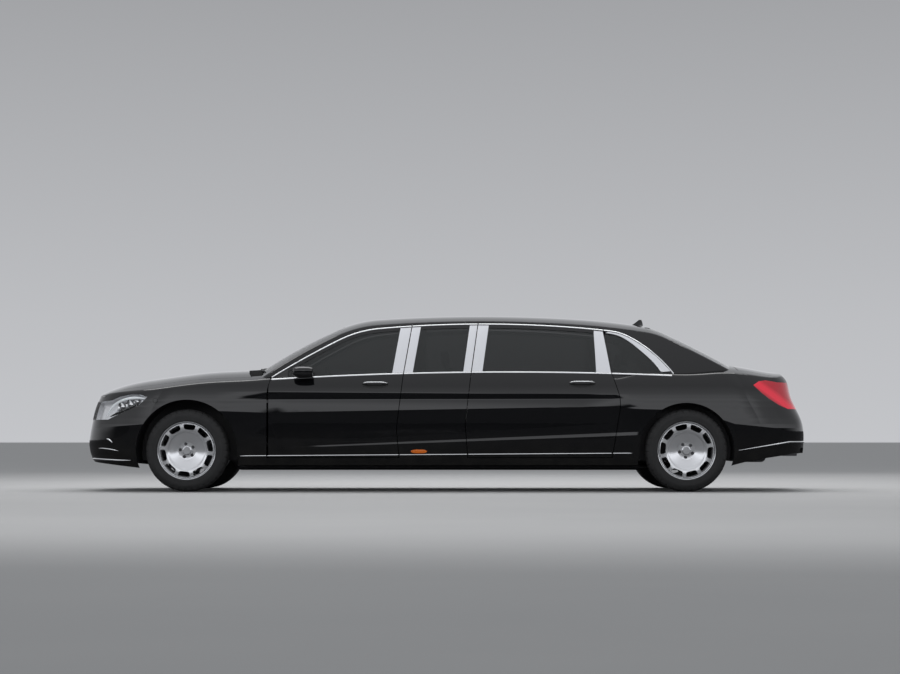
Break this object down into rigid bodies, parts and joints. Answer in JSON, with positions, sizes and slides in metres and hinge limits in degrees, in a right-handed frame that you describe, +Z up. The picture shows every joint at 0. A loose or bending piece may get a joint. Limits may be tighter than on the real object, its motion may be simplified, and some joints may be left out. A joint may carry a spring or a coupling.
{
  "type": "stretch limousine",
  "caption": "Black armoured stretch limousine with four doors and a fixed middle panel with its own window on each side, polished disc wheels, opening bonnet and boot lid.",
  "frame": {"origin": "on the ground under the middle of the car's length and width", "axes": "+Z up, the nose points along -X, the car's left side faces -Y"},
  "size_m": [6.5028, 2.16, 1.597],
  "materials": {
    "black_paint": "gloss",
    "floor_black": "satin",
    "black_plastic": "matte",
    "tinted_glass": "gloss",
    "chrome": "mirror polish",
    "clear_lens": "gloss",
    "red_lens": "gloss",
    "steel": "satin",
    "cast_metal": "satin",
    "black_leather": "satin",
    "dark_fabric": "matte",
    "tyre_rubber": "matte",
    "polished_wheel": "polished"
  },
  "bodies": {
    "car_body": {"floor_pan": "floor_black", "sills": "black_paint", "roof": "black_paint", "middle_panels": "black_paint", "front_wings": "black_paint", "rear_quarters": "black_paint", "front_bumper": "black_paint", "rear_bumper": "black_paint", "cowl": "black_plastic", "windscreen": "tinted_glass", "rear_window": "tinted_glass", "fixed_side_glass": "tinted_glass", "grille": "chrome", "headlamps": "clear_lens", "tail_lamps": "red_lens", "front_subframe": "steel", "front_arms": "steel", "wheel_arch_liners": "black_plastic", "rear_axle": "steel", "exhaust": "steel", "engine": "cast_metal", "radiator": "cast_metal", "dashboard": "black_leather", "steering_column": "black_plastic", "parcel_shelf": "dark_fabric", "partition": "black_leather", "seats_front": "black_leather", "seats_facing": "black_leather", "seats_rear": "black_leather"},
    "bonnet": {"bonnet": "black_paint"},
    "boot_lid": {"boot_lid": "black_paint"},
    "steering_wheel": {"steering_wheel": "black_leather"},
    "door_front_left": {"door_front_left": "black_paint", "glass_front_left": "tinted_glass", "mirror_left": "black_paint"},
    "door_rear_left": {"door_rear_left": "black_paint", "glass_rear_left": "tinted_glass"},
    "carrier_front_left": {"carrier_front_left": "steel"},
    "door_front_right": {"door_front_right": "black_paint", "glass_front_right": "tinted_glass", "mirror_right": "black_paint"},
    "door_rear_right": {"door_rear_right": "black_paint", "glass_rear_right": "tinted_glass"},
    "carrier_front_right": {"carrier_front_right": "steel"},
    "wheel_front_left": {"tyre_front_left": "tyre_rubber", "rim_front_left": "polished_wheel"},
    "wheel_front_right": {"tyre_front_right": "tyre_rubber", "rim_front_right": "polished_wheel"},
    "wheel_rear_left": {"tyre_rear_left": "tyre_rubber", "rim_rear_left": "polished_wheel"},
    "wheel_rear_right": {"tyre_rear_right": "tyre_rubber", "rim_rear_right": "polished_wheel"}
  },
  "joints": [
    {"name": "bonnet_hinge", "type": "hinge", "parent": "car_body", "child": "bonnet", "pos_m": [-1.722, 0, 1.108], "axis": [0, 1, 0], "range_deg": [0, 50]},
    {"name": "boot_lid_hinge", "type": "hinge", "parent": "car_body", "child": "boot_lid", "pos_m": [2.596, 0, 1.152], "axis": [0, -1, 0], "range_deg": [0, 78]},
    {"name": "door_front_left_hinge", "type": "hinge", "parent": "car_body", "child": "door_front_left", "pos_m": [-1.587, -0.95, 0.6], "axis": [0, 0, -1], "range_deg": [0, 62]},
    {"name": "door_rear_left_hinge", "type": "hinge", "parent": "car_body", "child": "door_rear_left", "pos_m": [0.166, -0.95, 0.6], "axis": [0, 0, -1], "range_deg": [0, 62]},
    {"name": "steer_left", "type": "hinge", "parent": "car_body", "child": "carrier_front_left", "pos_m": [-2.295, -0.745, 0.365], "axis": [0, 0, 1], "range_deg": [-36, 36]},
    {"name": "door_front_right_hinge", "type": "hinge", "parent": "car_body", "child": "door_front_right", "pos_m": [-1.587, 0.95, 0.6], "axis": [0, 0, 1], "range_deg": [0, 62]},
    {"name": "door_rear_right_hinge", "type": "hinge", "parent": "car_body", "child": "door_rear_right", "pos_m": [0.166, 0.95, 0.6], "axis": [0, 0, 1], "range_deg": [0, 62]},
    {"name": "steer_right", "type": "hinge", "parent": "car_body", "child": "carrier_front_right", "pos_m": [-2.295, 0.745, 0.365], "axis": [0, 0, 1], "range_deg": [-36, 36]},
    {"name": "spin_front_left", "type": "hinge", "parent": "carrier_front_left", "child": "wheel_front_left", "pos_m": [-2.295, -0.812, 0.365], "axis": [0, 1, 0], "continuous": true},
    {"name": "spin_rear_left", "type": "hinge", "parent": "car_body", "child": "wheel_rear_left", "pos_m": [2.123, -0.812, 0.365], "axis": [0, 1, 0], "continuous": true},
    {"name": "spin_front_right", "type": "hinge", "parent": "carrier_front_right", "child": "wheel_front_right", "pos_m": [-2.295, 0.812, 0.365], "axis": [0, 1, 0], "continuous": true},
    {"name": "spin_rear_right", "type": "hinge", "parent": "car_body", "child": "wheel_rear_right", "pos_m": [2.123, 0.812, 0.365], "axis": [0, 1, 0], "continuous": true},
    {"name": "steering_wheel_turn", "type": "hinge", "parent": "car_body", "child": "steering_wheel", "pos_m": [-1.01, -0.395, 0.93], "axis": [0.9135, 0, 0.4067], "range_deg": [-540, 540]}
  ],
  "couplings": [
    {"joint": "steer_right", "follows": "steer_left", "ratio": 1},
    {"joint": "steering_wheel_turn", "follows": "steer_left", "ratio": 15}
  ]
}
